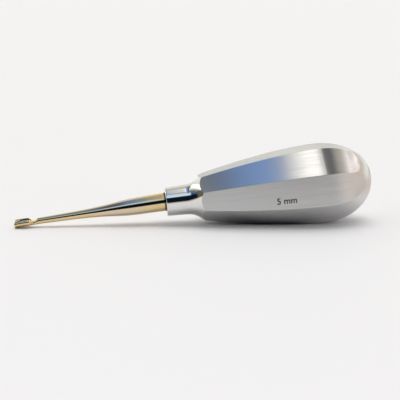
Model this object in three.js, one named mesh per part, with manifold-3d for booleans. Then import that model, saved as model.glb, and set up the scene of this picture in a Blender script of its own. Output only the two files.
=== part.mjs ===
// Dental elevator with a hollow faceted handle, lying at rest on a table.
// Millimetres, +Z up. The handle and shank are built along their own axis (+X, collar face at 0)
// and the whole instrument is then tilted until it lies on the blade tip and on one facet.
import * as THREE from 'three';
import { mergeVertices, toCreasedNormals } from 'three/addons/utils/BufferGeometryUtils.js';
import Module from 'manifold-3d';

const wasm = await Module();
wasm.setup();
const { Manifold, Mesh } = wasm;

// ---- driving dimensions ----
// handle
const HANDLE_LENGTH = 75.4;      // collar face to dome end
const BELLY_X = 56;              // widest station of the handle
const BELLY_R = 14.8;            // corner radius at the belly
const FACETS = 8;
const FACET_START_X = 14;        // where the facets run out into the neck
const FACET_START_R = 8.75;      // corner radius there
const TAPER_POWER = 1.6;         // curve of the taper between the two
const DOME_POWER = 2.1;          // 2 would be an ellipsoid
const FACET_END_BACK = 4.5;      // facets have faded out this far before the dome end
const FACET_FADE = 9;            // length over which their corners round off
const MOUTH_R = 5.3;             // neck radius at the collar face
const NECK_R = 5.6;              // neck radius where the flare begins
const FLARE_X = 7.4;             // the flare starts here,
const FLARE_BLEND = 4.9;         // bends outwards over this length
const FLARE_SLOPE = 0.85;        // and ends as a cone this steep
const MOUTH_CHAMFER = 0.3;
const WALL = 1.4;                // thickness of the two handle shells
const REST_LENGTH = 8;           // straight stretch of each facet, on which the handle lies
// joint between the two shells
const SPLIT_X = 57;
const WELD_GAP = 0.05;
const RING_LENGTH = 8;
const RING_WALL = 1.1;
// neck socket
const BUSH_END_X = 9.4;
const BUSH_WALL = 1.5;
const NECK_WALL = 1.1;           // shell wall around the socket
const SEAL_LENGTH = 0.6;
const SEAL_INSET = 0.25;
const PIN_R = 1;
const PIN_X = 5.2;
const PIN_INSET = 0.2;
// shank and blade (distances run from the collar face towards the tip)
const SHANK_LENGTH = 54.5;
const SHANK_CANT = 1.7;          // degrees, tip down from the handle axis
const SHANK_R = [[0, 3.35], [8, 3.22], [12, 3.12], [15, 2.93], [18, 2.6], [21, 2.25], [24, 1.97],
  [28, 1.67], [33, 1.46], [39, 1.3], [46, 1.13]];
const BLADE_LENGTH = 6.3;
const BLADE_WIDTH = 5;
const BLADE_DEPTH = 2.41;        // heel of the gouge to the top of the wings
const BLADE_TOE_DROP = 0.05;     // the wings are this much lower at the edge
const TOE_ROUND = 0.45;          // rounding of the wings' front corners
const WING_LEAN = 37;            // degrees that the wings curl in past the widest line
const WING_RISE = 1.5;           // length over which the wings rise behind the notch
const WING_EDGE = 0.14;          // thickness of the wings' top edges
const BLADE_WALL = 0.65;
const EDGE_WALL = 0.25;
const NOTCH_LENGTH = 2.4;
const NOTCH_THICK = 1.5;
const TANG_LENGTH = 13;
const CLEAR = 0.1;               // assembly clearance between nested pieces

// ---- values that follow ----
const RAD = Math.PI / 180;
const FLAT = Math.cos(Math.PI / FACETS);
const SEGS = 64;
const SHANK_SEGS = 32;
const socketR = MOUTH_R - NECK_WALL;
const bushR = socketR - CLEAR;
const tangR = bushR - BUSH_WALL - CLEAR;
const sealEnd = SEAL_INSET + SEAL_LENGTH;
const domeLength = HANDLE_LENGTH - BELLY_X;
const registerR = BELLY_R * FLAT - WALL;
const heelDrop = SHANK_R[SHANK_R.length - 1][1];

// corner radius of the faceted body
function bodyR(x) {
  const fall = BELLY_R - FACET_START_R;
  if (x <= BELLY_X) {
    const t = (BELLY_X - x) / (BELLY_X - FACET_START_X);
    return BELLY_R - fall * Math.pow(t, TAPER_POWER);
  }
  const faded = (x - HANDLE_LENGTH + FACET_END_BACK) / FACET_FADE + 1;
  const crisp = 0.997;
  return domeR(x) * (crisp + (1 / FLAT - crisp) * Math.pow(Math.max(0, faded), 1.5));
}

// round form that closes the rear end
function domeR(x, inset = 0) {
  const t = Math.min(1, Math.max(0, (x - BELLY_X) / (domeLength - inset)));
  return (BELLY_R - inset) * Math.pow(1 - Math.pow(t, DOME_POWER), 1 / DOME_POWER);
}

// round neck and its flare
function neckR(x) {
  const base = MOUTH_R + (NECK_R - MOUTH_R) * Math.min(1, x / FLARE_X);
  const t = x - FLARE_X;
  if (t <= 0) return base;
  if (t < FLARE_BLEND) return base + FLARE_SLOPE * t * t / (2 * FLARE_BLEND);
  return base + FLARE_SLOPE * (t - FLARE_BLEND / 2);
}

// ---- solids ----
// makes a closed geometry into a solid that can be cut and joined
function solid(geometry) {
  const bare = new THREE.BufferGeometry();
  bare.setAttribute('position', geometry.getAttribute('position'));
  bare.setIndex(geometry.getIndex());
  const merged = mergeVertices(bare);
  const corners = merged.getIndex().array;
  const triVerts = [];
  for (let i = 0; i < corners.length; i += 3) {
    const [a, b, c] = corners.slice(i, i + 3);
    if (a !== b && b !== c && c !== a) triVerts.push(a, b, c);
  }
  return new Manifold(new Mesh({
    numProp: 3,
    vertProperties: Float32Array.from(merged.getAttribute('position').array),
    triVerts: Uint32Array.from(triVerts),
  }));
}

// turned or faceted body about the X axis, from its outline of [x, radius] points
function turned(outline, count = SEGS) {
  const first = outline[0][0], last = outline[outline.length - 1][0];
  const points = [[first, 0], ...outline, [last, 0]].map(([x, r]) => new THREE.Vector2(r, x));
  const lathe = new THREE.LatheGeometry(points, count, Math.PI / FACETS);
  return solid(lathe.rotateZ(-Math.PI / 2));
}

// joins rings of equal point count into one closed body
function loft(rings) {
  const n = rings[0].length;
  const middle = (ring) => [0, 1, 2].map((k) => ring.reduce((sum, p) => sum + p[k], 0) / n);
  const points = [...rings.flat(), middle(rings[0]), middle(rings[rings.length - 1])];
  const first = points.length - 2, last = points.length - 1, lastRing = first - n;
  const index = [];
  for (let j = 0; j < n; j++) {
    const k = (j + 1) % n;
    for (let a = 0; a < lastRing; a += n) index.push(a + j, a + k, a + n + k, a + j, a + n + k, a + n + j);
    index.push(first, k, j, last, lastRing + j, lastRing + k);
  }
  const geometry = new THREE.BufferGeometry();
  geometry.setAttribute('position', new THREE.Float32BufferAttribute(points.flat(), 3));
  geometry.setIndex(index);
  return solid(geometry);
}

function steps(from, to, count) {
  return Array.from({ length: count + 1 }, (_, i) => from + (to - from) * i / count);
}

// outer form of the handle: a turned blank with eight long facets ground on it
function handleForm() {
  const round = [[0, MOUTH_R - MOUTH_CHAMFER], [MOUTH_CHAMFER, neckR(MOUTH_CHAMFER)]];
  for (const x of [3.5, FLARE_X]) round.push([x, neckR(x)]);
  for (const x of steps(FLARE_X, FLARE_X + FLARE_BLEND, 4).slice(1)) round.push([x, neckR(x)]);
  const wide = BELLY_R + 0.3;
  const out = FLARE_X + FLARE_BLEND / 2 + (wide - NECK_R) / FLARE_SLOPE;
  round.push([out, wide], [BELLY_X - 4, wide], [BELLY_X, BELLY_R + 0.05]);
  const dome = steps(0, 90, 16).slice(1, -1).map((a) => BELLY_X + domeLength * Math.sin(a * RAD));
  for (const x of dome) round.push([x, domeR(x)]);
  round.push([HANDLE_LENGTH, 0.6]);
  const facets = [[-1, BELLY_R], [FACET_START_X - 4, bodyR(FACET_START_X - 4)]];
  facets[0][1] = facets[1][1];
  const taper = steps(FACET_START_X, BELLY_X, 21);
  const before = taper.filter((x) => x < rest.from - 1), after = taper.filter((x) => x > rest.to + 1);
  for (const x of [...before, rest.from, rest.to, ...after]) facets.push([x, bodyR(x)]);
  for (const x of dome) facets.push([x, bodyR(x)]);
  facets.push([HANDLE_LENGTH, 3]);
  return turned(round).intersect(turned(facets, FACETS));
}

// hollow of the front shell: socket in the neck, then a turned cavity behind it
function frontHollow() {
  const wallIn = (x) => bodyR(x) * FLAT - WALL;
  const profile = [[-1, socketR], [BUSH_END_X + CLEAR, socketR]];
  for (const x of steps(FACET_START_X, SPLIT_X - RING_LENGTH / 2, 10)) profile.push([x, wallIn(x)]);
  profile.push([SPLIT_X - RING_LENGTH / 2 + 0.01, registerR], [SPLIT_X + 1, registerR]);
  return turned(profile);
}

function rearHollow() {
  const end = SPLIT_X + RING_LENGTH / 2;
  const inset = WALL + 0.2;
  const profile = [[SPLIT_X - 1, registerR], [end, registerR]];
  const reach = domeLength - inset;
  const arc = steps(Math.asin((end - BELLY_X) / reach) / RAD, 90, 8).slice(1, -1);
  for (const a of arc) {
    const x = BELLY_X + reach * Math.sin(a * RAD);
    profile.push([x, Math.min(registerR, domeR(x, inset) * 0.975)]);
  }
  profile.push([BELLY_X + reach, 0.4]);
  return turned(profile);
}

const slab = (x0, x1) => solid(new THREE.BoxGeometry(x1 - x0, 80, 80).translate((x0 + x1) / 2, 0, 0));

// point on the canted shank: distance from the collar, sideways, height from its own axis
function onShank(d, y, n) {
  const c = SHANK_CANT * RAD;
  return [-d * Math.cos(c) - n * Math.sin(c), y, -d * Math.sin(c) + n * Math.cos(c)];
}

const bladeStart = SHANK_LENGTH - BLADE_LENGTH;
const toe = onShank(SHANK_LENGTH, 0, -heelDrop);

// finds the stretch of the lowest facet whose line also meets the toe
function restStretch() {
  let low = FACET_START_X, high = BELLY_X - REST_LENGTH;
  const depth = (x) => bodyR(x) * FLAT;
  const slope = (from) => (depth(from + REST_LENGTH) - depth(from)) / REST_LENGTH;
  for (let i = 0; i < 50; i++) {
    const from = (low + high) / 2;
    const depthAtToe = depth(from) - slope(from) * (from - toe[0]);
    if (depthAtToe > -toe[2]) high = from;
    else low = from;
  }
  return { from: low, to: low + REST_LENGTH, angle: Math.atan(slope(low)) };
}
const rest = restStretch();
const tableLevel = toe[0] * Math.sin(rest.angle) + toe[2] * Math.cos(rest.angle);

function shankRadius(d) {
  let i = 0;
  while (i < SHANK_R.length - 2 && d > SHANK_R[i + 1][0]) i++;
  const [d0, r0] = SHANK_R[i], [d1, r1] = SHANK_R[i + 1];
  return r0 + (r1 - r0) * Math.min(1, (d - d0) / (d1 - d0));
}

// tang, round shank and the thinned notch behind the blade
function shankBody() {
  const rings = [];
  const add = (d, w, top, bottom) => {
    rings.push(Array.from({ length: SHANK_SEGS }, (_, i) => {
      const a = -i * 2 * Math.PI / SHANK_SEGS;
      const mid = (top + bottom) / 2, h = (top - bottom) / 2;
      return onShank(d, w * Math.cos(a), mid + h * Math.sin(a));
    }));
  };
  const notchEnd = bladeStart;
  const notchStart = bladeStart - NOTCH_LENGTH;
  const stations = [...SHANK_R.map((p) => p[0]).filter((d) => d < notchStart - 0.5), notchStart];
  for (const d of stations) add(d, shankRadius(d), shankRadius(d), -shankRadius(d));
  const full = shankRadius(notchStart), thin = NOTCH_THICK - heelDrop;
  for (const t of [0.3, 0.65, 1]) {
    const d = notchStart + (notchEnd - notchStart) * t;
    const ease = t * t * (3 - 2 * t);
    add(d, full + (1.35 - full) * ease, full + (thin - full) * ease, -heelDrop);
  }
  add(notchEnd + 0.6, 1.4, thin - 0.15, -heelDrop);
  const fore = loft(rings);
  const r0 = SHANK_R[0][1];
  const tang = turned([[-0.3, r0 - 0.02], [sealEnd, r0 - 0.02], [sealEnd + 0.01, tangR],
    [TANG_LENGTH - 0.5, tangR], [TANG_LENGTH, tangR - 0.5]], SHANK_SEGS);
  return fore.add(tang);
}

// one cross-section of the gouge or of its trough, open side up: an oval cut off at the top, with
// the trough carried on straight up
function cradle(d, w, floor, top, lean, up = []) {
  const high = (top - floor) / (1 + Math.sin(lean * RAD));
  const oval = steps(180 - lean, 360 + lean, 20).map((a) => {
    return onShank(d, w * Math.cos(a * RAD), floor + high + high * Math.sin(a * RAD));
  });
  const side = w * Math.cos(lean * RAD);
  const open = up.flatMap((n) => [onShank(d, side, n), onShank(d, -side, n)]);
  return [...oval, ...open].reverse();
}

function blade() {
  const half = BLADE_WIDTH / 2;
  const heel = -heelDrop;
  const topRear = BLADE_DEPTH + heel, topToe = topRear - BLADE_TOE_DROP;
  const thin = NOTCH_THICK + heel;
  const s = bladeStart, e = SHANK_LENGTH, rise = WING_RISE;
  const outer = loft([
    cradle(s - 0.3, half * 0.52, heel, thin - 0.1, 0),
    cradle(s + 0.15 * rise, half * 0.7, heel, thin, 0),
    cradle(s + 0.4 * rise, half * 0.84, heel, thin + 0.2 * (topRear - thin), WING_LEAN * 0.2),
    cradle(s + 0.68 * rise, half * 0.93, heel, thin + 0.66 * (topRear - thin), WING_LEAN * 0.6),
    cradle(s + rise, half * 0.98, heel, topRear - 0.05, WING_LEAN * 0.9),
    cradle(s + rise + 0.5, half, heel, topRear, WING_LEAN),
    cradle(e - TOE_ROUND, half, heel, topToe, WING_LEAN),
    cradle(e - TOE_ROUND * 0.35, half, heel, topToe - TOE_ROUND * 0.24, WING_LEAN * 0.85),
    cradle(e, half, heel, topToe - TOE_ROUND * 0.8, WING_LEAN * 0.5),
  ]);
  const inner = half - BLADE_WALL, edge = half - EDGE_WALL, up = [4];
  const mouth = half * Math.cos(WING_LEAN * RAD) - WING_EDGE;
  const lean = Math.acos(Math.min(1, mouth / edge)) / RAD;
  const toeFloor = EDGE_WALL + heel;
  const trough = loft([
    cradle(s - 0.4, inner * 0.6, thin + 0.05, topRear, 0, up),
    cradle(s + 0.5, inner * 0.8, thin - 0.12, topRear, 0, up),
    cradle(s + 1.5, Math.min(inner, mouth), BLADE_WALL + heel, topRear, 0, up),
    cradle(e - 1.8, Math.min(inner, mouth), BLADE_WALL + heel, topToe, 0, up),
    cradle(e, edge, toeFloor, topToe, lean, up),
    cradle(e + 0.5, edge, toeFloor - 0.1, topToe, lean, up),
  ]);
  return { outer, trough };
}

const across = (r, length) => solid(new THREE.CylinderGeometry(r, r, length, 24).translate(PIN_X, 0, 0));

// ---- the pieces ----
const form = handleForm();
const frontShell = form.intersect(slab(-5, SPLIT_X - WELD_GAP / 2)).subtract(frontHollow());
const rearShell = form.intersect(slab(SPLIT_X + WELD_GAP / 2, HANDLE_LENGTH + 5))
  .subtract(rearHollow());
const ringR = registerR - CLEAR;
const ringHalf = RING_LENGTH / 2 - CLEAR;
const jointRing = turned([[SPLIT_X - ringHalf, ringR - 0.3], [SPLIT_X - ringHalf + 0.3, ringR],
  [SPLIT_X + ringHalf - 0.3, ringR], [SPLIT_X + ringHalf, ringR - 0.3]])
  .subtract(turned([[SPLIT_X - 9, ringR - RING_WALL], [SPLIT_X + 9, ringR - RING_WALL]]));
const bush = turned([[sealEnd + CLEAR, bushR], [BUSH_END_X, bushR]])
  .subtract(turned([[-1, bushR - BUSH_WALL], [BUSH_END_X + 1, bushR - BUSH_WALL]]))
  .subtract(across(PIN_R + CLEAR, 20));
const seal = turned([[SEAL_INSET, socketR - CLEAR], [sealEnd, socketR - CLEAR]])
  .subtract(turned([[-1, SHANK_R[0][1] + CLEAR], [2, SHANK_R[0][1] + CLEAR]]));
const gouge = blade();
const shank = shankBody().add(gouge.outer).subtract(gouge.trough)
  .subtract(across(PIN_R + CLEAR, 20));
const pin = across(PIN_R, 2 * (bushR - PIN_INSET));

// ---- materials ----
const steel = (color, roughness) => new THREE.MeshStandardMaterial({
  color, roughness, metalness: 1,
});
const satin = steel(0xb4b3b0, 0.34);
const plain = steel(0x9a9a98, 0.5);
const gold = steel(0xcaa55c, 0.2);
const solder = steel(0x77767a, 0.45);

function node(name, body, material) {
  const mesh = body.getMesh();
  const stride = mesh.numProp;
  const points = new Float32Array(mesh.numVert * 3);
  for (let i = 0; i < mesh.numVert; i++) {
    for (let k = 0; k < 3; k++) points[i * 3 + k] = mesh.vertProperties[i * stride + k];
  }
  let geometry = new THREE.BufferGeometry();
  geometry.setAttribute('position', new THREE.BufferAttribute(points, 3));
  geometry.setIndex(new THREE.BufferAttribute(new Uint32Array(mesh.triVerts), 1));
  geometry = toCreasedNormals(geometry, 0.35);
  const result = new THREE.Mesh(geometry, material);
  result.name = name;
  return result;
}

// ---- assembly ----
const elevator = new THREE.Group();
elevator.name = 'dental_elevator';
const instrument = new THREE.Group();
instrument.name = 'instrument_at_rest';
const handle = new THREE.Group();
handle.name = 'handle';
handle.add(
  node('front_shell', frontShell, satin),
  node('rear_shell', rearShell, satin),
  node('joint_ring', jointRing, plain),
  node('neck_bush', bush, plain),
  node('mouth_seal', seal, solder),
);
const working = new THREE.Group();
working.name = 'working_end';
working.add(node('shank', shank, gold), node('lock_pin', pin, plain));
instrument.add(handle, working);
instrument.rotation.y = -rest.angle;
elevator.add(instrument);

// stand it on z = 0 with its plan centred on the origin
elevator.updateMatrixWorld(true);
const bounds = new THREE.Box3().setFromObject(elevator, true);
instrument.position.set(-(bounds.min.x + bounds.max.x) / 2, 0, -tableLevel);
elevator.updateMatrixWorld(true);

export default elevator;
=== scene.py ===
import math

import bmesh
import bpy
import numpy as np
from mathutils import Matrix, Vector


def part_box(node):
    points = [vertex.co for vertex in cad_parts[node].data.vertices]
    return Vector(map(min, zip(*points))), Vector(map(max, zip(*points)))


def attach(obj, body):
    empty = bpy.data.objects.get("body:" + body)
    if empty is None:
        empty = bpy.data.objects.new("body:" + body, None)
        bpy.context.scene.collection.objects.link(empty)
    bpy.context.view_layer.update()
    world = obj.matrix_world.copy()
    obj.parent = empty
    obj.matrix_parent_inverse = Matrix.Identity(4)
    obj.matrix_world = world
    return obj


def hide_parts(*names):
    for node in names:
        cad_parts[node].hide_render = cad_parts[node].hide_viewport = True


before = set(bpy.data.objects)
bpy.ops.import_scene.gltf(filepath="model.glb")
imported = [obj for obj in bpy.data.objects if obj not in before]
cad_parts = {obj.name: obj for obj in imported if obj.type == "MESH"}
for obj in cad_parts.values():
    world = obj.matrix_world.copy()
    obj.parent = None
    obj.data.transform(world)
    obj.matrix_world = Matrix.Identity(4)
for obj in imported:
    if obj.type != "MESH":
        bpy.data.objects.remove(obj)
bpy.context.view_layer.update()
MM = 0.001

# ---------------------------------------------------------------- dimensions
# The same driving sizes as the CAD part, in millimetres. Stations x run from the handle's mouth
# (0) to the end of its dome; the shank leaves the mouth the other way.
HANDLE_LENGTH = 75.4
BELLY_X, BELLY_R = 56.0, 14.8
FACET_START_X, FACET_START_R = 14.0, 8.75
TAPER_POWER, DOME_POWER = 1.6, 2.1
MOUTH_R, NECK_R = 5.3, 5.6
FLARE_X, FLARE_BLEND, FLARE_SLOPE = 7.4, 4.9, 0.85
MOUTH_CHAMFER = 0.3
WALL, NECK_WALL = 1.4, 1.1
REST_LENGTH = 8.0
SPLIT_X, RING_LENGTH = 57.0, 8.0
BUSH_END_X = 9.4
PIN_X = 5.2
SHANK_LENGTH, SHANK_CANT = 54.5, 1.7
SHANK_R = [(0, 3.35), (8, 3.22), (12, 3.12), (15, 2.93), (18, 2.6), (21, 2.25), (24, 1.97),
           (28, 1.67), (33, 1.46), (39, 1.3), (46, 1.13)]
BLADE_LENGTH, BLADE_WIDTH, BLADE_DEPTH = 6.3, 5.0, 2.41
BLADE_TOE_DROP, TOE_ROUND = 0.05, 0.45
WING_LEAN, WING_RISE, WING_EDGE = math.radians(37), 1.5, 0.14
BLADE_WALL, EDGE_WALL = 0.65, 0.25
NOTCH_LENGTH, NOTCH_THICK, NOTCH_HALF_WIDTH = 2.4, 1.5, 1.35
TANG_LENGTH, TANG_R, TANG_CHAMFER = 13.0, 2.5, 0.5

# Finer sizes of the visible pieces.
EDGE_ROUND = 0.16                          # radius along the edges between the facets
DOME_ROUND = 0.985                         # the same at the dome's end, as a share of its radius
FADE_START, FADE_END = 66.0, 73.4          # where those edges round off on the dome
EVEN_START, EVEN_SPAN, EVEN_SHARE = 65.5, 8.0, 0.9    # where the mesh columns spread out evenly
FLARE_SEARCH = (9, 18)                     # stations between which the flare meets the facets
SOCKET_RIM = ((0.35, 0.0), (0.12, 0.03), (0.0, 0.15))   # station, opening beyond the socket
SOCKET_DEPTH, BUSH_GAP, RING_GAP = 2.0, 0.1, 0.3
DOME_WALL = WALL + 0.2
DOME_INSIDE = 0.975                        # keeps the dome's round inside within the facets
SHOULDER_X, SHOULDER_STEP = 0.85, 0.05     # where the shank narrows to its tang, in the mouth
ROOT_LENGTH, ROOT_TAPER = 1.5, 0.013
SHANK_EASE, BLADE_EASE = 1.5, 0.12         # half lengths over which the profiles are smoothed
MARK_X, MARK_Z, MARK_SIZE = 38.4, -3.2, 3.1
MARK_STROKE, MARK_PROUD, MARK_DEPTH = 0.06, 0.012, 0.03
GRAIN_SPAN = 100.0                         # millimetres of length to one unit of the grain's UV

EIGHTH = math.pi / 8
FLAT = math.cos(EIGHTH)
HEEL = SHANK_R[-1][1]
DOME_LENGTH = HANDLE_LENGTH - BELLY_X
SOCKET_R = MOUTH_R - NECK_WALL
INSIDE_R = BELLY_R * FLAT - WALL


def smooth(t):
    t = np.clip(t, 0, 1)
    return t * t * (3 - 2 * t)


def superellipse(t):
    """Height of the dome's profile, from 1 at its foot (t = 0) to 0 at its end (t = 1)."""
    return (1 - t ** DOME_POWER) ** (1 / DOME_POWER)


def body_r(x):
    """Corner radius of the faceted body."""
    x = np.asarray(x, float)
    back = np.clip((BELLY_X - x) / (BELLY_X - FACET_START_X), 0, None)
    taper = BELLY_R - (BELLY_R - FACET_START_R) * back ** TAPER_POWER
    dome = BELLY_R * superellipse(np.clip((x - BELLY_X) / DOME_LENGTH, 0, 1))
    return np.where(x <= BELLY_X, taper, dome)


def neck_r(x):
    """Radius of the round neck and its flare."""
    x = np.asarray(x, float)
    base = MOUTH_R + (NECK_R - MOUTH_R) * np.clip(x / FLARE_X, 0, 1)
    t = x - FLARE_X
    blend = FLARE_SLOPE * np.clip(t, 0, FLARE_BLEND) ** 2 / (2 * FLARE_BLEND)
    return base + blend + FLARE_SLOPE * np.clip(t - FLARE_BLEND, 0, None)


def octagon(x):
    """The rounded octagon at station x: its apothem, the radius along its edges (fine on the body,
    growing to a full circle on the dome), that radius's centre, and half the angle it takes up."""
    grow = smooth((np.asarray(x, float) - FADE_START) / (FADE_END - FADE_START))
    rho = EDGE_ROUND + grow * (body_r(x) * DOME_ROUND - EDGE_ROUND)
    apothem = FLAT * (body_r(x) - rho) + rho
    centre = (apothem - rho) / FLAT
    return apothem, rho, centre, np.arctan2(rho * math.sin(EIGHTH), centre + rho * FLAT)


def faceted_r(x, phi):
    """Radius of the rounded octagon at station x in direction phi (its first edge is at EIGHTH)."""
    apothem, rho, centre, limit = octagon(x)
    delta = np.abs(phi % (2 * EIGHTH) - EIGHTH)
    flat = apothem / np.cos(EIGHTH - delta)
    arc = centre * np.cos(delta) + np.sqrt(np.maximum(rho ** 2 - (centre * np.sin(delta)) ** 2, 0))
    return np.where(delta < limit, arc, flat)


# ---------------------------------------------------------------- placing
CANT = math.radians(SHANK_CANT)


def on_shank(d, y, n):
    """The point d down the shank from the mouth, y across it and n above its axis."""
    return (-d * math.cos(CANT) - n * math.sin(CANT), y, -d * math.sin(CANT) + n * math.cos(CANT))


def rest_slope():
    """Slope of the line the elevator lies on: it spans REST_LENGTH of the lowest facet and meets
    the toe."""
    toe_x, _, toe_z = on_shank(SHANK_LENGTH, 0, -HEEL)
    low, high = FACET_START_X, BELLY_X - REST_LENGTH
    for _ in range(50):
        start = (low + high) / 2
        near, far = body_r((start, start + REST_LENGTH)) * FLAT
        slope = (far - near) / REST_LENGTH
        if near - slope * (start - toe_x) > -toe_z:
            high = start
        else:
            low = start
    return slope


REST = math.atan(rest_slope())
pin_low, pin_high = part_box("lock_pin")
pin = (pin_low + pin_high) / 2
ORIGIN = Vector((pin.x - PIN_X * MM * math.cos(REST), 0, pin.z - PIN_X * MM * math.sin(REST)))
PLACE = np.array(Matrix.Translation(ORIGIN) @ Matrix.Rotation(-REST, 4, "Y") @ Matrix.Scale(MM, 4))


def place(points):
    """Instrument millimetres to the row frame in metres."""
    return np.asarray(points, float).reshape(-1, 3) @ PLACE[:3, :3].T + PLACE[:3, 3]


# ---------------------------------------------------------------- mesh helpers
SATIN, POLISHED, TURNED = 0, 1, 2     # material slots of the handle's pieces


def add_object(name, data):
    obj = bpy.data.objects.new(name, data)
    bpy.context.scene.collection.objects.link(obj)
    return obj


def make_piece(name, rings, slots, u, closed=False, caps=(None, None), sharp_rows=()):
    """A closed piece from rings of points, kept above the floor. slots[i] is the material slot of
    the band between ring i and the next one. u is the grain's UV along the piece. A cap is a tip
    point, or "bridge", which joins the outer and the inner half of a cradle section."""
    rings = np.asarray(rings, float)
    rows, n = rings.shape[:2]
    verts = place(rings)
    verts[:, 2] = np.maximum(verts[:, 2], 0.0)
    verts = [tuple(v) for v in verts]
    faces, mats, uvs = [], [], []

    def face(corners, slot, uv):
        faces.append(corners)
        mats.append(slot)
        uvs.extend(uv)

    for i in range(rows if closed else rows - 1):
        k = (i + 1) % rows
        for j in range(n):
            m = (j + 1) % n
            a, b = j / n, (j + 1) / n
            face((i * n + j, i * n + m, k * n + m, k * n + j), slots[i],
                 [(u[i][j], a), (u[i][m], b), (u[k][m], b), (u[k][j], a)])
    for end, row in zip(caps, (0, rows - 1)):
        first = row * n
        if end == "bridge":
            for j in range(n // 2):
                quad = (first + j, first + j + 1, first + n - j - 1, first + (n - j) % n)
                corners = tuple(dict.fromkeys(quad))      # a triangle at either wing
                face(corners[::-1], slots[-1], [(0.5, 0.5)] * len(corners))
        elif end is not None:
            tip = len(verts)
            verts.append(tuple(place([end])[0]))
            for j in range(n):
                a, b = first + j, first + (j + 1) % n
                face((tip, b, a) if row == 0 else (tip, a, b), slots[row], [(1, 0.5)] * 3)
    mesh = bpy.data.meshes.new(name)
    mesh.from_pydata(verts, [], faces)
    mesh.uv_layers.new(name="grain").data.foreach_set("uv", [c for p in uvs for c in p])
    mesh.polygons.foreach_set("material_index", mats)
    mesh.polygons.foreach_set("use_smooth", [True] * len(faces))
    sharp = []
    for edge in mesh.edges:
        a, b = (v // n for v in edge.vertices)
        sharp.append(a == b and a in sharp_rows)
    mesh.attributes.new("sharp_edge", "BOOLEAN", "EDGE").data.foreach_set("value", sharp)
    bm = bmesh.new()
    bm.from_mesh(mesh)
    bmesh.ops.recalc_face_normals(bm, faces=bm.faces)
    bm.to_mesh(mesh)
    bm.free()
    return add_object(name, mesh)


# ---------------------------------------------------------------- handle
ARC = (-1.0, -0.6, -0.2, 0.2, 0.6, 1.0)                    # columns round an edge
FACE = (0.015, 0.06, 0.2, 0.4, 0.6, 0.8, 0.94, 0.985)      # and across a facet
COLUMNS = 8 * (len(ARC) + len(FACE))
NECK_RINGS, FACET_RINGS, DOME_RINGS = 44, 60, 70


def columns(x):
    """Column directions at station x, gathered at the edges and evened out on the dome."""
    limit = float(octagon(x)[3])
    gathered = []
    for k in range(8):
        edge = EIGHTH + k * 2 * EIGHTH
        start, stop = edge + limit, edge + 2 * EIGHTH - limit
        gathered += [edge + limit * a for a in ARC]
        gathered += [start + (stop - start) * f for f in FACE]
    even = EIGHTH + (np.arange(COLUMNS) - (len(ARC) - 1) / 2) * 2 * math.pi / COLUMNS
    share = smooth((x - EVEN_START) / EVEN_SPAN) * EVEN_SHARE
    return np.array(gathered) * (1 - share) + even * share


def ring_at(x, r, phi):
    """A ring of the handle; phi runs from the near side (-Y) upward."""
    x, r = np.broadcast_to(x, phi.shape), np.broadcast_to(r, phi.shape)
    return np.stack([x, -r * np.cos(phi), r * np.sin(phi)], -1)


def grain_u(rings):
    return np.asarray(rings)[:, :, 0] / GRAIN_SPAN


def facet_start(phi):
    """Station where the flare meets the facets, for each direction."""
    s = np.linspace(*FLARE_SEARCH, 3001)
    gap = neck_r(s)[:, None] - faceted_r(s[:, None], phi[None, :])
    return s[np.argmax(gap >= 0, axis=0)]


def front_piece():
    """From the mouth's rim along the outside to the weld, and back along the inside."""
    rings, slots = [], []
    phi0, phi_weld = columns(FACET_START_X), columns(SPLIT_X)
    start = facet_start(phi0)

    def add(slot, x, r, phi=phi0):
        rings.append(ring_at(x, r, phi))
        slots.append(slot)

    for x, opening in SOCKET_RIM:
        add(POLISHED, x, SOCKET_R + opening)
    for a in np.linspace(0, math.pi / 2, 6):
        x = MOUTH_CHAMFER * (1 - math.cos(a))
        add(POLISHED, x, float(neck_r(x)) - MOUTH_CHAMFER * (1 - math.sin(a)))
    for t in np.linspace(0, 1, NECK_RINGS)[1:-1]:
        x = MOUTH_CHAMFER + (start - MOUTH_CHAMFER) * t
        add(POLISHED, x, neck_r(x))
    edge_row = len(rings)
    add(SATIN, start, faceted_r(start, phi0))
    for t in np.linspace(0, 1, FACET_RINGS)[1:]:
        t = t * (0.55 + 0.45 * t)      # rings lie closer together near the flare
        x = start + (SPLIT_X - start) * t
        # the columns leave the flare's directions and soon follow the widening facets
        phi = phi0 + (columns(float(np.mean(x))) - phi0) * min(1, t * 6)
        add(SATIN, x, faceted_r(x, phi), phi)
    weld_row = len(rings) - 1
    slots[-1] = TURNED
    add(TURNED, SPLIT_X, INSIDE_R, phi_weld)
    add(TURNED, SPLIT_X - RING_LENGTH / 2, INSIDE_R, phi_weld)
    for x in np.linspace(SPLIT_X - RING_LENGTH / 2 - RING_GAP, FACET_START_X + 2, 10):
        add(TURNED, x, float(body_r(x)) * FLAT - WALL, phi_weld)
    add(TURNED, BUSH_END_X + BUSH_GAP, SOCKET_R, phi_weld)
    add(TURNED, SOCKET_DEPTH, SOCKET_R)
    return make_piece("handle_front", rings, slots, grain_u(rings), closed=True,
                      sharp_rows=(edge_row, weld_row, weld_row + 1))


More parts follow.
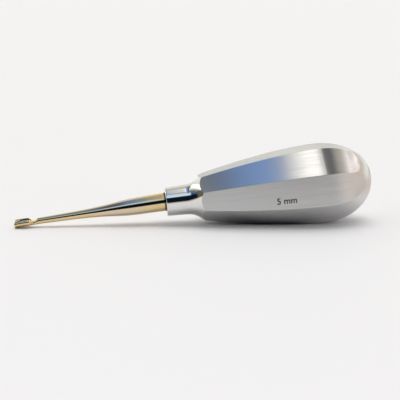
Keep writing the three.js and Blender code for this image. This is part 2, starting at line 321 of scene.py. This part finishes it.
def rear_piece():
    """The dome: its inside from the end to the weld, then its outside back to the end."""
    phi_weld = columns(SPLIT_X)
    rings = []
    for a in np.linspace(86, 20, 12):
        t = math.sin(math.radians(a))
        r = DOME_INSIDE * (BELLY_R - DOME_WALL) * superellipse(t)
        rings.append(ring_at(BELLY_X + (DOME_LENGTH - DOME_WALL) * t, min(INSIDE_R, r), phi_weld))
    rings.append(ring_at(SPLIT_X, INSIDE_R, phi_weld))
    weld_row = len(rings)
    weld_angle = math.asin((SPLIT_X - BELLY_X) / DOME_LENGTH)
    for a in np.linspace(weld_angle, math.pi / 2, DOME_RINGS)[:-1]:
        x = BELLY_X + DOME_LENGTH * math.sin(a)
        phi = columns(x)
        rings.append(ring_at(x, faceted_r(x, phi), phi))
    slots = [TURNED] * weld_row + [SATIN] * (len(rings) - weld_row)
    return make_piece("handle_rear", rings, slots, grain_u(rings),
                      caps=((HANDLE_LENGTH - DOME_WALL, 0, 0), (HANDLE_LENGTH, 0, 0)),
                      sharp_rows=(weld_row - 1, weld_row))


front, rear = front_piece(), rear_piece()

# ---------------------------------------------------------------- shank and blade
HALF = 48     # columns in the lower and in the upper half of a section
ROUND = np.linspace(math.pi, 3 * math.pi, 2 * HALF + 1)[:-1]
LAND = 2      # columns across a wing's edge


def resample(path, count):
    """The same path with evenly spaced points."""
    path = np.asarray(path, float)
    step = np.r_[0, np.cumsum(np.hypot(*np.diff(path, axis=0).T))]
    at = np.linspace(0, step[-1], count)
    return np.stack([np.interp(at, step, path[:, 0]), np.interp(at, step, path[:, 1])], -1)


def round_section(w, top, bottom):
    """Oval section: its first half runs along the underside, its second over the top."""
    mid, h = (top + bottom) / 2, (top - bottom) / 2
    return np.stack([w * np.cos(ROUND), mid + h * np.sin(ROUND)], -1)


def oval(w, floor, top, lean, count=60):
    """Oval cut off at the top, where it has curled in by the lean, from the left edge to the
    right."""
    high = (top - floor) / (1 + math.sin(lean))
    a = np.linspace(math.pi - lean, 2 * math.pi + lean, count)
    return np.stack([w * np.cos(a), floor + high + high * np.sin(a)], -1)


def cradle_section(w, top, lean, trough_w, floor):
    """Gouge section: outer half from wing to wing under the heel, then edges and trough."""
    lower = resample(oval(w, -HEEL, top, lean), HALF + 1)
    side = w * math.cos(lean) - WING_EDGE
    trough = oval(trough_w, floor, top, math.acos(min(1, side / trough_w)))[::-1]
    upper = resample(trough, HALF - 2 * LAND + 1)
    right = [lower[-1] + (upper[0] - lower[-1]) * k / LAND for k in range(1, LAND)]
    left = [upper[-1] + (lower[0] - upper[-1]) * k / LAND for k in range(1, LAND)]
    return np.vstack([lower, right, upper, left])


def shank_radius(d):
    """Radius at distance d from the mouth: a smoothed line through the stations."""
    if d <= ROOT_LENGTH:
        return SHANK_R[0][1] - d * ROOT_TAPER
    near = d + np.linspace(-SHANK_EASE, SHANK_EASE, 9)
    return float(np.mean(np.interp(near, *zip(*SHANK_R))))


def blade_keys():
    """Rows of distance beyond the blade's start, half width, wing top, lean as a share of
    WING_LEAN, trough's half width and trough's floor."""
    wide, end = BLADE_WIDTH / 2, BLADE_LENGTH
    thin, deep, edge = NOTCH_THICK - HEEL, BLADE_WALL - HEEL, EDGE_WALL - HEEL
    wing = BLADE_DEPTH - HEEL
    toe_wing, rise = wing - BLADE_TOE_DROP, wing - thin
    mouth = wide * math.cos(WING_LEAN) - WING_EDGE
    return np.array([
        (0.10, 0.62 * wide, thin, 0.0, 1.05, thin - 0.03),
        (0.15 * WING_RISE, 0.70 * wide, thin, 0.0, 1.20, thin - 0.05),
        (0.40 * WING_RISE, 0.84 * wide, thin + 0.20 * rise, 0.2, 1.45, thin - 0.12),
        (0.68 * WING_RISE, 0.93 * wide, thin + 0.66 * rise, 0.6, 1.65, thin - 0.30),
        (WING_RISE, 0.98 * wide, wing - 0.05, 0.9, 1.80, deep + 0.05),
        (WING_RISE + 0.5, wide, wing, 1.0, mouth, deep),
        (end - 1.8, wide, toe_wing + 0.01, 1.0, mouth, deep),
        (end - TOE_ROUND, wide, toe_wing, 1.0, mouth + 0.32, edge + 0.10),
        (end - 0.35 * TOE_ROUND, wide, toe_wing - 0.24 * TOE_ROUND, 0.85, wide - EDGE_WALL - 0.02,
         edge + 0.03),
        (end, wide, toe_wing - 0.8 * TOE_ROUND, 0.5, wide - EDGE_WALL, edge),
    ])


def shank_piece():
    """Tang, shank, notch behind the blade, and the blade to its toe."""
    rings = []

    def tang(x, r):
        rings.append([(x, r * math.cos(a), r * math.sin(a)) for a in ROUND])

    def section(d, outline):
        rings.append([on_shank(d, y, n) for y, n in outline])

    tang(TANG_LENGTH, TANG_R - TANG_CHAMFER)
    tang(TANG_LENGTH - TANG_CHAMFER, TANG_R)
    shoulder_row = len(rings)
    tang(SHOULDER_X + SHOULDER_STEP, TANG_R)
    tang(SHOULDER_X, SHANK_R[0][1])
    blade = SHANK_LENGTH - BLADE_LENGTH
    notch = blade - NOTCH_LENGTH
    for d in np.linspace(0, notch, 70):
        r = shank_radius(d)
        section(d, round_section(r, r, -r))
    for t in np.linspace(0, 1, 12)[1:]:
        e = float(smooth(t))
        section(notch + NOTCH_LENGTH * t,
                round_section(r + (NOTCH_HALF_WIDTH - r) * e, r + (NOTCH_THICK - HEEL - r) * e,
                              -HEEL - (r - HEEL) * (1 - e)))
    keys, end = blade_keys(), BLADE_LENGTH
    first = keys[0, 0]
    for d in np.r_[np.linspace(first, 2.2, 26), np.linspace(2.3, end - 0.6, 14),
                   np.linspace(end - 0.5, end, 10)]:
        ease = np.linspace(-BLADE_EASE, BLADE_EASE, 9) * min(1, 4 * (end - d))
        near = np.clip(d + ease, first, end)
        w, top, lean, trough_w, floor = [float(np.mean(np.interp(near, keys[:, 0], values)))
                                         for values in keys.T[1:]]
        section(blade + d, cradle_section(w, top, lean * WING_LEAN, trough_w, floor))
    return make_piece("shank_and_blade", rings, [0] * len(rings), -grain_u(rings),
                      caps=((TANG_LENGTH, 0, 0), "bridge"),
                      sharp_rows=(shoulder_row, shoulder_row + 1, len(rings) - 1))


shank = shank_piece()


# ---------------------------------------------------------------- size mark
def size_mark():
    """The generic size mark on the near facet: thin lettering that follows the facet's curve."""
    font = bpy.data.curves.new("size_mark", "FONT")
    font.body = "5 mm"
    font.size = MARK_SIZE
    font.offset = MARK_STROKE
    font.space_character = 1.02
    font.extrude = 0.02
    font.resolution_u = 6
    holder = add_object("size_mark_text", font)
    bpy.context.view_layer.update()
    drawn = holder.evaluated_get(bpy.context.evaluated_depsgraph_get())
    mesh = bpy.data.meshes.new_from_object(drawn)
    bpy.data.objects.remove(holder)
    for v in mesh.vertices:
        x = MARK_X + v.co.x
        facet = float(body_r(x)) * FLAT + EDGE_ROUND * (1 - FLAT)
        out = facet + (MARK_PROUD if v.co.z > 0 else -MARK_DEPTH)
        v.co = Vector(place([(x, -out, MARK_Z + v.co.y)])[0])
    for p in mesh.polygons:
        p.use_smooth = False
    mesh.name = "size_mark"
    return add_object("size_mark", mesh)


mark = size_mark()


# ---------------------------------------------------------------- materials
def grey(value):
    return (value,) * 3


class Nodes:
    """Short forms for building a node tree."""

    def __init__(self, tree):
        self.tree = tree

    def add(self, kind, **values):
        node = self.tree.nodes.new(kind)
        for key, value in values.items():
            if key in node.inputs:
                node.inputs[key].default_value = value
            else:
                setattr(node, key, value)
        return node

    def feed(self, *pairs):
        """Give each socket its value: another node's output, a colour or a number."""
        for socket, value in pairs:
            if isinstance(value, bpy.types.NodeSocket):
                self.tree.links.new(value, socket)
            else:
                socket.default_value = (*value, 1) if isinstance(value, tuple) else value

    def axes(self, coordinates):
        """The x, y and z of one of the texture coordinates."""
        node = self.add("ShaderNodeSeparateXYZ")
        self.feed((node.inputs[0], self.add("ShaderNodeTexCoord").outputs[coordinates]))
        return node.outputs

    def calc(self, operation, a, b=0.0):
        node = self.add("ShaderNodeMath", operation=operation)
        self.feed(*zip(node.inputs, (a, b)))
        return node.outputs[0]

    def both(self, a, b):
        return self.calc("MULTIPLY", a, b)

    def either(self, a, b):
        return self.calc("MAXIMUM", a, b)

    def fade(self, source, start, end):
        """Smooth step from 0 at the start to 1 at the end, which may lie on either side."""
        node = self.add("ShaderNodeMapRange", interpolation_type="SMOOTHSTEP")
        self.feed((node.inputs["From Min"], start), (node.inputs["From Max"], end),
                  (node.inputs["Value"], source))
        return node.outputs[0]

    def ramp(self, source, stops):
        node = self.add("ShaderNodeValToRGB")
        elements = node.color_ramp.elements
        while len(elements) < len(stops):
            elements.new(0.5)
        for element, (position, colour) in zip(elements, stops):
            element.position = position
            element.color = (*colour, 1)
        self.feed((node.inputs[0], source))
        return node.outputs[0]

    def mix(self, factor, a, b):
        node = self.add("ShaderNodeMix", data_type="RGBA")
        self.feed((node.inputs[0], factor), (node.inputs[6], a), (node.inputs[7], b))
        return node.outputs[2]


class Material(Nodes):
    """A material with one Principled shader."""

    def __init__(self, name):
        self.mat = bpy.data.materials.new(name)
        self.mat.use_nodes = True
        super().__init__(self.mat.node_tree)
        self.shader = self.tree.nodes["Principled BSDF"]

    def set(self, **values):
        """Feed the shader's inputs by their names, with underscores for spaces."""
        for name, value in values.items():
            self.feed((self.shader.inputs[name.replace("_", " ")], value))

    def grain(self, along, across, detail):
        """Fine lines that run the length of the piece."""
        scale = self.add("ShaderNodeMapping")
        scale.inputs["Scale"].default_value = (along, across, 1)
        noise = self.add("ShaderNodeTexNoise", noise_dimensions="2D", Scale=1.0, Detail=detail,
                         Roughness=0.6)
        uv = self.add("ShaderNodeUVMap", uv_map="grain")
        self.feed((scale.inputs["Vector"], uv.outputs[0]),
                  (noise.inputs["Vector"], scale.outputs[0]))
        return noise.outputs["Fac"]

    def cloud(self, scale, detail):
        """Soft specks without a direction."""
        noise = self.add("ShaderNodeTexNoise", Scale=scale, Detail=detail)
        self.feed((noise.inputs["Vector"], self.add("ShaderNodeTexCoord").outputs["Object"]))
        return noise.outputs["Fac"]

    def bump(self, height, strength, distance):
        node = self.add("ShaderNodeBump", Strength=strength, Distance=distance)
        self.feed((node.inputs["Height"], height))
        self.set(Normal=node.outputs[0])


def satin_steel():
    """Steel brushed along the handle."""
    m = Material("satin_steel")
    fine, broad = m.grain(14, 1300, 2), m.grain(3, 240, 1)
    lines = m.calc("ADD", m.calc("MULTIPLY", fine, 0.6), m.calc("MULTIPLY", broad, 0.4))
    along = m.add("ShaderNodeTangent", direction_type="UV_MAP", uv_map="grain")
    m.set(Metallic=1.0, Anisotropic=1.0, Anisotropic_Rotation=0.25, Tangent=along.outputs[0],
          Base_Color=m.ramp(lines, [(0.3, (0.67, 0.665, 0.655)), (0.7, (0.75, 0.745, 0.735))]),
          Roughness=m.ramp(lines, [(0.3, grey(0.265)), (0.7, grey(0.235))]))
    m.bump(lines, 0.05, 0.000004)
    return m.mat


def mirror_steel():
    m = Material("mirror_steel")
    haze = m.cloud(900, 2)
    m.set(Metallic=1.0,
          Base_Color=m.ramp(haze, [(0.3, (0.76, 0.755, 0.74)), (0.7, (0.80, 0.795, 0.78))]),
          Roughness=m.ramp(haze, [(0.3, grey(0.035)), (0.7, grey(0.07))]))
    return m.mat


def machined(name, colour, roughness):
    """Bare steel of the parts and faces inside the handle."""
    m = Material(name)
    marks = m.cloud(1500, 4)
    shaded = tuple(c * 0.8 for c in colour)
    m.set(Metallic=1.0, Base_Color=m.ramp(marks, [(0.35, shaded), (0.65, colour)]),
          Roughness=m.ramp(marks, [(0.3, grey(roughness - 0.08)), (0.7, grey(roughness + 0.08))]))
    m.bump(marks, 0.2, 0.00002)
    return m.mat


def gold_coat():
    """Thin gold coating, paler along the shank's taper, with painted shade in the gap at the mouth.
    """
    m = Material("gold_coat")
    lines = m.grain(8, 220, 3)
    where = m.add("ShaderNodeSeparateXYZ")
    m.feed((where.inputs[0], m.add("ShaderNodeUVMap", uv_map="grain").outputs[0]))
    # the first two stops are painted shade: a dark band where the coat meets the gap at the mouth
    coat = m.ramp(where.outputs[0], [
        (0.0, (0.05, 0.038, 0.02)), (0.004, (0.06, 0.045, 0.022)), (0.006, (0.80, 0.61, 0.32)),
        (0.05, (0.79, 0.62, 0.36)), (0.11, (0.74, 0.62, 0.46)), (0.20, (0.73, 0.61, 0.46)),
        (0.30, (0.78, 0.60, 0.34)), (1.0, (0.80, 0.59, 0.30))])
    m.set(Metallic=1.0, Base_Color=m.mix(m.calc("MULTIPLY", lines, 0.25), coat, (0.62, 0.46, 0.26)),
          Roughness=m.ramp(lines, [(0.3, grey(0.10)), (0.7, grey(0.06))]))
    return m.mat


def ink():
    m = Material("etched_mark")
    speck = m.cloud(6000, 2)
    m.set(Roughness=0.6,
          Base_Color=m.ramp(speck, [(0.3, (0.008, 0.008, 0.01)), (0.75, (0.03, 0.029, 0.028))]))
    return m.mat


def dress(obj, *materials):
    for material in materials:
        obj.data.materials.append(material)


satin, mirror, gold = satin_steel(), mirror_steel(), gold_coat()
turned = machined("turned_steel", (0.42, 0.42, 0.42), 0.45)
braze = machined("braze_ring", (0.10, 0.095, 0.09), 0.5)
dress(front, satin, mirror, turned)
dress(rear, satin, mirror, turned)
dress(shank, gold)
dress(mark, ink())
for node, material in (("joint_ring", turned), ("neck_bush", turned), ("lock_pin", turned),
                       ("mouth_seal", braze)):
    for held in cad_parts[node].material_slots:
        held.material = material

for piece, slot in ((front, "satin_steel"), (rear, "satin_steel"), (shank, "gold_coated_steel"),
                    (mark, "satin_steel")):
    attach(piece, "root")
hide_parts("front_shell")
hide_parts("rear_shell")
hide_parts("shank")

# ---------------------------------------------------------------- floor and light
FLOOR_HALF = 3.0
SHOWN_WHITE = (0.9, 0.9, 0.885)
FILL_STRENGTH = 0.68


def floor_piece():
    """A matt white floor. Only what the steel mirrors of it is tinted, as painted reflections:
    painted shade far in front, a painted warm reflection beyond the dome, and a painted contact
    shadow where the handle touches it."""
    m = Material("floor")
    x, y, _ = m.axes("Object")
    mirrored = m.add("ShaderNodeLightPath").outputs["Is Glossy Ray"]
    # where the painted contact shadow lies: along the handle's length and close under it
    length = m.both(m.fade(x, -0.006, 0.022), m.fade(x, 0.050, 0.034))
    painted_contact_shadow = m.both(length, m.fade(m.calc("ABSOLUTE", y), 0.0105, 0.0052))
    colour = (0.84, 0.84, 0.83)
    # painted reflections: painted shade far in front, a painted warm reflection beyond the dome, and
    # a painted contact shadow under the handle
    for where, tint in ((m.fade(y, -0.035, -0.17), (0.27, 0.235, 0.21)),
                        (m.fade(x, 0.08, 0.12), (0.66, 0.57, 0.50)),
                        (painted_contact_shadow, (0.02, 0.03, 0.05))):
        colour = m.mix(m.both(where, mirrored), colour, tint)
    m.set(Base_Color=colour, Roughness=0.6, Specular_IOR_Level=0.15)
    corners = [(sx * FLOOR_HALF, sy * FLOOR_HALF, 0)
               for sx, sy in ((-1, -1), (1, -1), (1, 1), (-1, 1))]
    mesh = bpy.data.meshes.new("floor")
    mesh.from_pydata(corners, [], [(0, 1, 2, 3)])
    mesh.materials.append(m.mat)
    add_object("floor", mesh)


def overhead_light():
    """Soft light from above, a little from the dome's side and the back. Steel doesn't mirror it."""
    data = bpy.data.lights.new("overhead", "SUN")
    data.energy = 1.3
    data.angle = math.radians(46)
    data.color = (1.0, 0.99, 0.955)
    obj = add_object("overhead", data)
    obj.rotation_euler = Vector((-0.10, -0.12, -1)).to_track_quat("-Z", "Y").to_euler()
    obj.visible_glossy = False


def studio():
    """The white light on matt surfaces, strongest from above and from either end, and the room that
    steel mirrors: a dark side behind the camera, a ceiling with a blue and a white panel, and a pale
    backdrop."""
    world = bpy.data.worlds.new("studio")
    bpy.context.scene.world = world
    world.use_nodes = True
    n = Nodes(world.node_tree)
    n.tree.nodes.clear()
    x, y, z = n.axes("Generated")
    # the sweep goes from the horizon behind the camera (0) over the ceiling to the backdrop (1);
    # the length goes from the tip's side (x = -1) to the dome's side (x = 1)
    sweep = n.calc("DIVIDE", n.calc("ARCTAN2", z, n.calc("MULTIPLY", y, -1.0)), math.pi)
    length = n.calc("ADD", n.calc("MULTIPLY", x, 0.5), 0.5)

    def by_sweep(*stops):
        return n.ramp(sweep, [(degrees / 180, colour) for degrees, colour in stops])

    def by_length(*stops):
        return n.ramp(length, [(0.5 + at / 2, colour) for at, colour in stops])

    def swept(start, end):
        return n.fade(sweep, start / 180, end / 180)

    def glow(colour, strength=1.0):
        node = n.add("ShaderNodeBackground")
        n.feed((node.inputs[0], colour), (node.inputs[1], strength))
        return node.outputs[0]

    def choose(factor, a, b):
        node = n.add("ShaderNodeMixShader")
        n.feed(*zip(node.inputs, (factor, a, b)))
        return node.outputs[0]

    dark = (0.006, 0.008, 0.013)
    upright = by_sweep(
        (0, (0.02, 0.02, 0.026)), (4, dark), (33, dark), (38, (0.12, 0.28, 0.5)),
        (43, (0.76, 1.05, 1.4)), (50, (0.58, 0.84, 0.94)), (58, (0.87, 0.81, 0.66)),
        (65, (0.31, 0.26, 0.21)), (74, (0.45, 0.45, 0.42)), (83, (0.97, 1.06, 1.04)),
        (92, (1.0, 1.0, 0.97)), (100, (0.58, 0.52, 0.42)), (111, (0.62, 0.55, 0.42)),
        (125, (0.85, 0.79, 0.72)), (141, (0.84, 0.84, 0.80)), (160, (1.08, 1.08, 1.0)),
        (180, (1.15, 1.13, 1.08)))
    ceiling = by_length(
        (-0.36, (0.09, 0.09, 0.10)), (-0.30, (0.12, 0.17, 0.30)), (-0.25, (0.16, 0.30, 0.66)),
        (-0.17, (0.20, 0.36, 0.74)), (-0.130, (0.27, 0.39, 0.66)), (-0.112, (0.60, 0.63, 0.72)),
        (-0.08, (1.3, 1.25, 1.2)), (-0.02, (2.3, 2.2, 2.1)), (0.05, (2.2, 2.15, 2.1)),
        (0.13, (0.34, 0.31, 0.27)), (0.19, (0.10, 0.075, 0.07)), (0.31, (0.11, 0.09, 0.08)),
        (0.40, (0.44, 0.39, 0.35)), (0.51, (0.55, 0.52, 0.45)), (0.63, (1.25, 1.17, 1.15)),
        (0.70, (2.1, 1.9, 1.9)), (0.77, (1.3, 1.1, 1.08)), (0.86, (0.8, 0.66, 0.6)))
    side = by_sweep(
        (0, (0.02, 0.02, 0.026)), (4, dark), (36, dark), (46, (0.06, 0.11, 0.2)),
        (56, (0.08, 0.16, 0.34)), (65, (0.18, 0.18, 0.18)), (75, (0.34, 0.35, 0.33)),
        (90, (0.85, 0.88, 0.82)), (97, (1.7, 1.7, 1.65)), (120, (1.7, 1.7, 1.6)),
        (128, (0.85, 0.9, 0.8)), (140, (0.98, 0.95, 0.9)), (160, (0.98, 1.0, 0.95)),
        (180, (1.0, 1.0, 0.97)))
    narrow = n.both(swept(64, 70), swept(102, 96))
    broad = n.both(swept(52, 58), swept(118, 108))
    panels = n.either(n.both(n.fade(x, -0.42, -0.36), n.fade(x, -0.10, -0.14)),
                      n.fade(x, 0.08, 0.14))
    ceiling_on = n.either(n.both(broad, panels), n.both(narrow, n.fade(x, -0.2, -0.14)))
    brown_on = n.both(n.fade(x, -0.86, -0.94), swept(92, 76))
    wall_on = n.both(n.fade(x, 0.32, 0.70), swept(68, 62))
    room = n.mix(n.fade(x, -0.42, -0.55), upright, side)
    room = n.mix(ceiling_on, room, ceiling)
    room = n.mix(brown_on, room, (0.16, 0.13, 0.09))
    room = n.mix(wall_on, room, (0.74, 0.65, 0.57))

    above = n.mix(swept(40, 88), (0.05, 0.05, 0.10), (1.0, 0.99, 1.02))
    above = n.mix(n.fade(x, -0.4, -0.8), above, grey(1.45))
    above = n.mix(n.fade(x, 0.35, 0.8), above, (1.7, 1.65, 1.75))
    path = n.add("ShaderNodeLightPath")
    lit = choose(path.outputs["Is Glossy Ray"], glow(above, FILL_STRENGTH), glow(room))
    shown = choose(path.outputs["Is Camera Ray"], lit, glow(SHOWN_WHITE))
    n.feed((n.add("ShaderNodeOutputWorld").inputs[0], shown))


# ---------------------------------------------------------------- camera
AZIMUTH, ELEVATION, ROLL = math.radians(-5.99), math.radians(12.57), math.radians(0.06)
DISTANCE, FOCAL, SENSOR = 0.4, 99.513, 36
AIM_X, AIM_Z = 12.45, 8.60      # millimetres beyond the mouth, and above the floor


def camera():
    back = Vector((math.sin(AZIMUTH) * math.cos(ELEVATION),
                   -math.cos(AZIMUTH) * math.cos(ELEVATION), math.sin(ELEVATION)))
    right = Vector((math.cos(AZIMUTH), math.sin(AZIMUTH), 0))
    up = back.cross(right)
    c, s = math.cos(ROLL), math.sin(ROLL)
    right, up = c * right + s * up, c * up - s * right
    data = bpy.data.cameras.new("camera")
    data.sensor_width = SENSOR
    data.lens = FOCAL
    data.clip_start = 0.01
    obj = add_object("camera", data)
    pose = Matrix((right, up, back)).transposed().to_4x4()
    pose.translation = Vector((ORIGIN.x + AIM_X * MM, 0, AIM_Z * MM)) + back * DISTANCE
    obj.matrix_world = pose
    bpy.context.scene.camera = obj


floor_piece()
overhead_light()
studio()
camera()
bpy.context.scene.view_settings.view_transform = "Standard"
